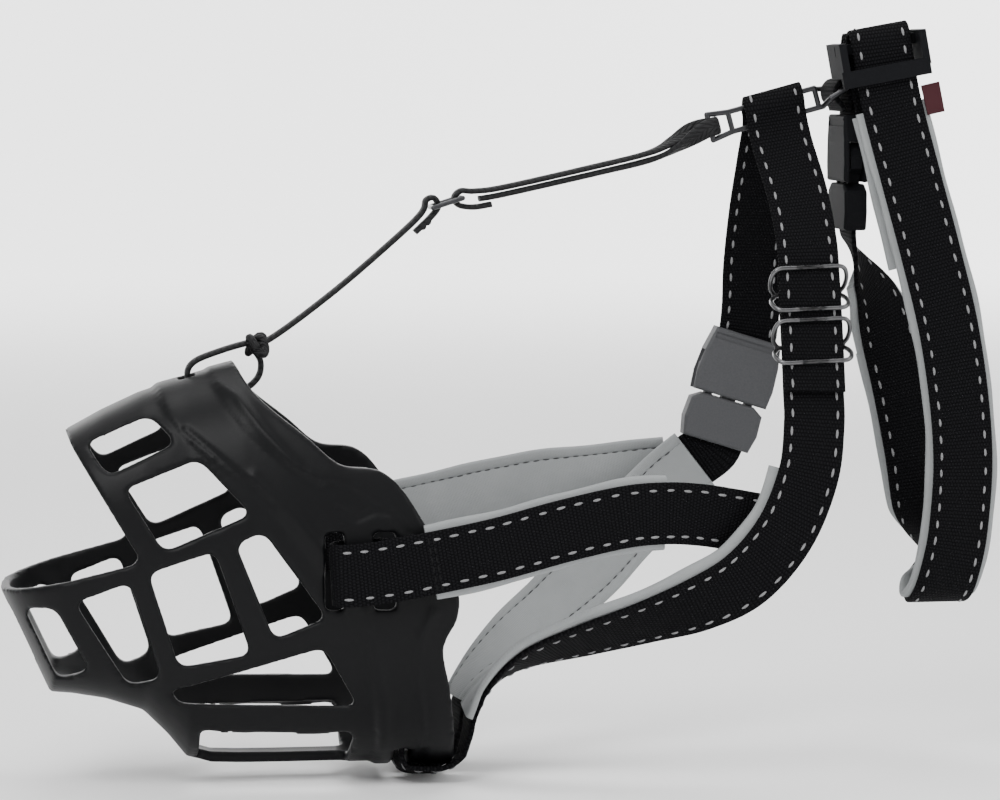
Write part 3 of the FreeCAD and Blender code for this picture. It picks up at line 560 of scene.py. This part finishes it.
dress(throat_far.sweep("throat_strap_far", WEB, webbing), "root",
      ("throat_webbing_far", "throat_plug_webbing"), PULL)
dress(stitch_rows(throat_far, "throat_stitches_far", thread, ROWS, TOP, 1, first=6), "root", (), PULL)
box = [(0, -7, 0, 7), (0, 7, 13, 7), (13, 7, 13, -7), (13, -7, 0, -7), (9.5, -7, 9.5, 7)]
box_seam = stitch_rows(throat_far, "throat_box_seam", dark_thread, (), 3.4, -1, first=14, outline=box)
dress(box_seam, "root", (), PULL)
far_linings = ("throat_lining_far", "throat_plug_lining")
padding(throat_far, "throat_pad_far", "root", far_linings, 9, 16, PULL, seed=3, more=1)

dress(cheek_near.sweep("cheek_strap_near", WEB, webbing), "root", ("cheek_webbing_near",))
dress(stitch_rows(cheek_near, "cheek_stitches_near", thread, ROWS, TOP, 1, first=10), "root")
crossing = ((13.5, -8, 8), (15.0, -8, 8))
dress(
    stitch_rows(cheek_near, "cheek_cross_seam", dark_thread, (), TOP, 1, first=12, cross_seams=crossing),
    "root",
)
padding(cheek_near, "cheek_pad_near", "root", ("cheek_lining_near",), 13, 17, seed=4)

dress(cheek_far.sweep("cheek_strap_far", WEB, webbing), "root", ("cheek_webbing_far",))
dress(stitch_rows(cheek_far, "cheek_stitches_far", thread, ROWS, TOP, 1, last=9), "root")
padding(cheek_far, "cheek_pad_far", "root", ("cheek_lining_far",), 1, 6, seed=5)

SEAM = 24
dress(collar.sweep("collar_strap", WEB, webbing, 0, SEAM), "collar", ("collar_webbing",))
collar_end = collar.sweep("collar_strap_end", WEB, webbing, SEAM)
dress(collar_end, "collar", ("collar_plug_webbing",), COLLAR_PULL)
dress(stitch_rows(collar, "collar_stitches", thread, ROWS, TOP, 1, last=SEAM), "collar")
end_stitches = stitch_rows(collar, "collar_stitches_end", thread, ROWS, TOP, 1, first=SEAM)
dress(end_stitches, "collar", (), COLLAR_PULL)
padding(collar, "collar_pad", "collar", ("collar_lining",), 8, SEAM, seed=6)
padding(collar, "collar_pad_end", "collar", ("collar_plug_lining",), SEAM, 26, COLLAR_PULL, seed=7)
padding(collar, "collar_pad_tail", "collar", ("collar_tail_lining",), 0, 2, seed=8)
dress(ring_strap.sweep("collar_ring_strap", WEB, webbing), "collar", ("collar_ring_webbing",))
dress(ring_pocket.sweep("collar_ring_strap_loop", WEB, webbing), "collar")

# %% [markdown]
# ## Forehead cord
# A flat braid. Its single run is tied off with a knot above the nose bridge; the rear run is doubled.

# %% Cord
CORD = [
    (-3, 0), (-2.7, 0.6), (-1.8, 0.88), (0, 0.94), (1.8, 0.88), (2.7, 0.6),
    (3, 0), (2.7, -0.6), (1.8, -0.88), (0, -0.94), (-1.8, -0.88), (-2.7, -0.6),
]
front_cord = Route([(x, y, z, 0, 1, 0) for x, y, z in CORD_FRONT], 0.8)
dress(front_cord.sweep("forehead_cord_single", CORD, braid), "root", ("forehead_cord_front",))
rear_cord = Route(CORD_REAR, 0.8)
dress(rear_cord.sweep("forehead_cord_double", CORD, braid), "root", ("forehead_cord_rear",))


def knot_path(t):
    """An overhand knot pulled tight round both runs of the cord."""
    a = 2 * math.pi * t
    x = -29.8 + 2.3 * math.sin(2 * a)
    y = 4.2 * math.cos(a) + 0.8 * math.cos(3 * a)
    z = 70.9 + 2.5 * math.sin(3 * a + 0.5)
    return x, y, z, 0.5, math.sin(a), math.cos(a)


knot = Route([knot_path(k / 24) for k in range(25)], 0.8)
tube = [(1.7 * math.cos(2 * math.pi * k / 10), 1.25 * math.sin(2 * math.pi * k / 10)) for k in range(10)]
dress(knot.sweep("forehead_cord_knot", tube, braid), "root")
whip = stitch_rows(
    front_cord, "forehead_cord_whipping", dark_thread, (-2, -1, 0, 1, 2), 1.0, 1, 2.2, 2.0, 0.5, first=18
)
dress(whip, "root")
print("cord turns:", len(front_cord.rows), len(rear_cord.rows))

# %% [markdown]
# ## Basket
# The frame's basket has sharp cut edges. A fine remesh and a little smoothing round them like a moulding.

# %% Rubber skin
source = nodes["basket"].data.copy()
skin = bpy.data.objects.new("basket_skin", source)
bpy.context.scene.collection.objects.link(skin)
bm = bmesh.new()
bm.from_mesh(source)
bmesh.ops.remove_doubles(bm, verts=bm.verts[:], dist=0.00001)
bm.to_mesh(source)
bm.free()
remesh = skin.modifiers.new("moulded", "REMESH")
remesh.mode = "VOXEL"
remesh.voxel_size = 0.0009
remesh.use_smooth_shade = True
relax = skin.modifiers.new("rounded", "SMOOTH")
relax.factor = 0.5
relax.iterations = 4
bpy.context.view_layer.update()
baked = bpy.data.meshes.new_from_object(skin.evaluated_get(bpy.context.evaluated_depsgraph_get()))
skin.modifiers.clear()
skin.data = baked
baked.materials.clear()
baked.materials.append(rubber.material)
for polygon in baked.polygons:
    polygon.use_smooth = True

# %% Moulded ridges
RIDGES = (
    (0.95, 1.7, [(-45.8, 62.5), (-38.3, 56.4), (-31.4, 46.8), (-24.2, 38.8), (-19.4, 34.3), (-13, 31)]),
    (-0.7, 1.1, [(-54.9, 46.5), (-46.6, 39.5), (-34.1, 28.4), (-28.0, 23.0)]),
    (0.75, 2.0, [(-34.1, 31.9), (-22.2, 20.2), (-15.9, 12.1), (-6.4, -1.4), (-0.1, -11.1), (3.0, -19.8),
                 (7.1, -39.5), (8.6, -63.2)]),
    (0.8, 1.5, [(22.1, -12.0), (18.2, -19.9), (17.4, -27), (18.4, -36.4), (21.5, -56.7)]),
    (-0.6, 1.2, [(-8.0, 22.0), (-2.0, 18.5), (4.0, 21.0), (10.0, 20.0), (14.0, 14.0)]),
)


def ridge_height(x, z):
    """How far the moulding stands out at a place seen from the side, in millimetres."""
    rise = 0.0
    for height, width, line in RIDGES:
        near = 1e9
        for (x0, z0), (x1, z1) in zip(line, line[1:]):
            run = (x1 - x0) ** 2 + (z1 - z0) ** 2
            t = min(max(((x - x0) * (x1 - x0) + (z - z0) * (z1 - z0)) / run, 0), 1)
            near = min(near, math.hypot(x - x0 - t * (x1 - x0), z - z0 - t * (z1 - z0)))
        rise += height * math.exp(-((near / width) ** 2))
    return rise


normals = [vertex.normal.copy() for vertex in baked.vertices]
for vertex, normal in zip(baked.vertices, normals):
    away = 1 if vertex.co.y > 0 else -1
    facing = normal.y * away
    if facing > 0.35:
        rise = ridge_height(vertex.co.x / MM, vertex.co.z / MM)
        vertex.co += normal * (rise * MM * min(1.0, (facing - 0.35) * 3))
dress(skin, "root", ("basket",))
print("basket faces:", len(baked.polygons))

# %% Hard parts
for name, node in nodes.items():
    paint = None
    if "main_buckle" in name:
        paint = grey_plastic
    elif "buckle" in name or name == "collar_slider":
        paint = plastic
    elif name in ("forehead_slider", "neck_link"):
        paint = wire
    if not paint:
        continue
    node.data.materials.clear()
    node.data.materials.append(paint.material)
    if paint is not wire:
        soften = node.modifiers.new("edges", "BEVEL")
        soften.width = 0.0009 if name == "collar_slider" else 0.0005
        soften.segments = 3
        soften.limit_method = "ANGLE"
        soften.angle_limit = math.radians(40)


def tube_along(name, points, radius, normal, paint, closed=True):
    """A round wire bent through the points. `normal` stands roughly square to the bend."""
    count = len(points)
    path = []
    spans = count if closed else count - 1
    for i in range(spans):
        around = [i + k for k in (-1, 0, 1, 2)]
        quad = [points[k % count] if closed else points[max(0, min(count - 1, k))] for k in around]
        for j in range(5):
            t = j / 5
            path.append(
                quad[0] * (-0.5 * t + t * t - 0.5 * t ** 3)
                + quad[1] * (1 - 2.5 * t * t + 1.5 * t ** 3)
                + quad[2] * (0.5 * t + 2 * t * t - 1.5 * t ** 3)
                + quad[3] * (-0.5 * t * t + 0.5 * t ** 3)
            )
    if not closed:
        path.append(points[-1])
    bm = bmesh.new()
    rings = []
    total = len(path)
    for i, point in enumerate(path):
        before = path[(i - 1) % total] if closed else path[max(i - 1, 0)]
        after = path[(i + 1) % total] if closed else path[min(i + 1, total - 1)]
        ahead = (after - before).normalized()
        side = ahead.cross(normal).normalized()
        rise = side.cross(ahead)
        turns = [2 * math.pi * k / 10 for k in range(10)]
        circle = [point + side * math.cos(a) * radius + rise * math.sin(a) * radius for a in turns]
        rings.append([bm.verts.new(corner * MM) for corner in circle])
    for i in range(total if closed else total - 1):
        a, b = rings[i], rings[(i + 1) % total]
        for k in range(10):
            bm.faces.new((a[k], a[(k + 1) % 10], b[(k + 1) % 10], b[k])).smooth = True
    if not closed:
        bm.faces.new(rings[0])
        bm.faces.new(rings[-1])
    bmesh.ops.recalc_face_normals(bm, faces=bm.faces[:])
    return finish_mesh(bm, name, paint)


# %% [markdown]
# ## Wire adjusters
# Two long loops side by side, pinched where the middle bar crosses behind the webbing.

# %% Adjusters
HALF, TALL = 12.5, 7.0
WIRE_RADIUS = 0.75


def adjuster(tag, centre, body, replaced):
    down = Vector((0, -0.331, -0.944))
    across = Vector((1, 0, 0.04))
    out = down.cross(across).normalized()

    def at(x, along, lift):
        return Vector(centre) + across * x + down * along + out * lift

    quarter = [(-HALF + 3, -TALL, 2.3), (-HALF + 8, -TALL, 2.3), (0, -TALL, 2.3), (HALF - 8, -TALL, 2.3),
               (HALF - 3, -TALL, 2.3), (HALF - 0.9, -TALL + 0.9, 1.6), (HALF, -TALL + 3, -0.8),
               (HALF - 0.3, -2.0, -3.6),
               (HALF - 1.5, -0.5, -5.2)]
    other = [(x, -along, lift) for x, along, lift in reversed(quarter)]
    right = quarter + other
    points = [at(*p) for p in right if p[0] > -HALF + 7]
    points += [at(-x, -along, lift) for x, along, lift in right if x > -HALF + 7 and not (x == 0)]
    loop = tube_along(tag, points, WIRE_RADIUS, out, polished)
    dress(loop, body, replaced)
    middle = [at(x, 0, -5.2) for x in (-HALF + 1.5, 0, HALF - 1.5)]
    bar = tube_along(tag + "_bar", middle, WIRE_RADIUS, out, polished, False)
    dress(bar, body)


adjuster("neck_wire_upper", (147.1, -29.0, 89.0), "neck_slide_upper", ("neck_adjuster_upper",))
adjuster("neck_wire_lower", (147.0, -34.6, 72.4), "neck_slide_lower", ("neck_adjuster_lower",))

TAG = [(x, -14.9, z, -0.22, 0, 0.97) for x, z in ((188.1, 149.9), (191, 150.6), (193.9, 151.2))]
side_tag = Route(TAG).sweep("collar_side_tag", band_profile(10, 0.9, 0.3), label)
dress(side_tag, "collar", ("collar_tag",))

# %% [markdown]
# ## Studio
# A white sweep, a large soft key light from the upper left, and a fill from the right.

# %% Stage and lights
bm = bmesh.new()
FLOOR = -0.0712
profile = [Vector((0, y, FLOOR)) for y in (-3.5, -1.0, 0.4, 3.0)]
for k in range(1, 13):
    a = math.pi / 2 * k / 12
    profile.append(Vector((0, 3.0 + 0.8 * math.sin(a), FLOOR + 0.8 * (1 - math.cos(a)))))
profile.append(Vector((0, 3.8, 3.6)))
rows = [[bm.verts.new(p + Vector((x, 0, 0))) for p in profile] for x in (-4.0, 4.0)]
for k in range(len(profile) - 1):
    bm.faces.new((rows[0][k], rows[1][k], rows[1][k + 1], rows[0][k + 1])).smooth = True
sweep_paint = Paint("studio", (0.93, 0.93, 0.93), 0.9)
backdrop = finish_mesh(bm, "studio_sweep", sweep_paint, 180)


def area_light(name, where, aim, size, power):
    data = bpy.data.lights.new(name, "AREA")
    data.shape = "RECTANGLE"
    data.size, data.size_y = size
    data.energy = power
    lamp = bpy.data.objects.new(name, data)
    lamp.location = where
    lamp.rotation_mode = "QUATERNION"
    lamp.rotation_quaternion = (Vector(aim) - Vector(where)).to_track_quat("-Z", "Y")
    bpy.context.scene.collection.objects.link(lamp)


area_light("key", (-0.55, -0.9, 1.05), (0.05, 0, 0.04), (0.7, 0.7), 16)
area_light("fill", (1.1, -0.8, 0.45), (0.05, 0, 0.05), (0.6, 0.9), 7)
area_light("top", (0.1, 0.25, 1.2), (0.05, 0, 0.05), (1.0, 0.6), 9)
area_light("backdrop_left", (-1.3, 2.6, 1.3), (-0.3, 3.8, 0.2), (1.2, 1.0), 60)
area_light("backdrop_right", (1.5, 2.6, 1.3), (0.5, 3.8, 0.2), (1.2, 1.0), 60)
world = bpy.data.worlds.new("studio")
bpy.context.scene.world = world
world.use_nodes = True
world.node_tree.nodes["Background"].inputs[0].default_value = (1, 1, 1, 1)
world.node_tree.nodes["Background"].inputs[1].default_value = 0.9

# %% [markdown]
# ## Camera
# A long lens, a little left of straight-on and a little above.

# %% Camera
AZIMUTH, ELEVATION = math.radians(-8.25), math.radians(5.0)
DISTANCE = 1.3
flat = math.cos(ELEVATION)
back = Vector((math.sin(AZIMUTH) * flat, -math.cos(AZIMUTH) * flat, math.sin(ELEVATION)))
target = Vector((0.050, 0.0, 0.052))
lens = bpy.data.cameras.new("camera")
lens.lens = 142.7
lens.clip_end = 50
camera = bpy.data.objects.new("camera", lens)
bpy.context.scene.collection.objects.link(camera)
camera.location = target + back * DISTANCE
camera.rotation_mode = "QUATERNION"
camera.rotation_quaternion = (-back).to_track_quat("-Z", "Y")
bpy.context.scene.camera = camera
print("camera:", tuple(round(c, 3) for c in camera.location))
